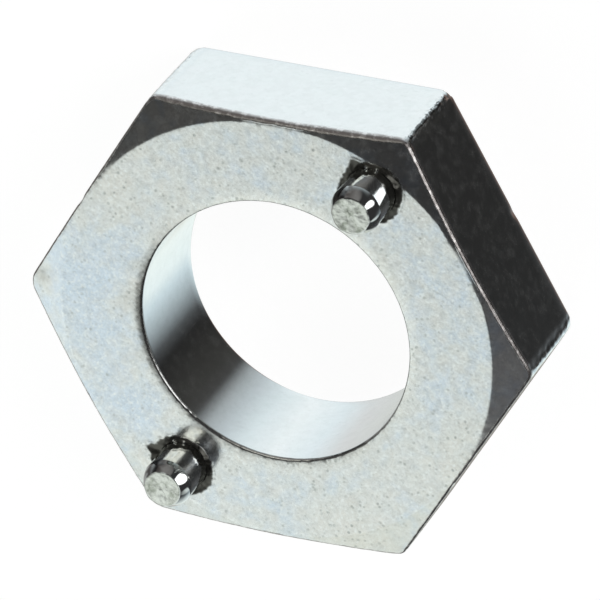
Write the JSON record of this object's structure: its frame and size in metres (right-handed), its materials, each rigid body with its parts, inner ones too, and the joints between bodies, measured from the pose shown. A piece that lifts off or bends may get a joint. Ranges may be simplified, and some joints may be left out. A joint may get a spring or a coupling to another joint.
{
  "type": "hex nut",
  "caption": "Thin plain-bored hex nut with dowel pins standing out of its front face, for driving or locating a mating ring.",
  "frame": {"origin": "centre of the flat back seat, on the bore axis", "axes": "+Z along the bore axis from the back seat towards the pins; X through two opposite corners and both pins"},
  "size_m": [0.0414, 0.036, 0.014],
  "materials": {
    "zinc_plated_steel": "bright zinc plate over a lightly grained, cold-drawn surface",
    "ground_pin_steel": "ground and polished, with duller cropped ends"
  },
  "bodies": {
    "root": {"nut_body": "zinc_plated_steel", "dowel_pin_1": "ground_pin_steel", "dowel_pin_2": "ground_pin_steel"}
  },
  "joints": []
}
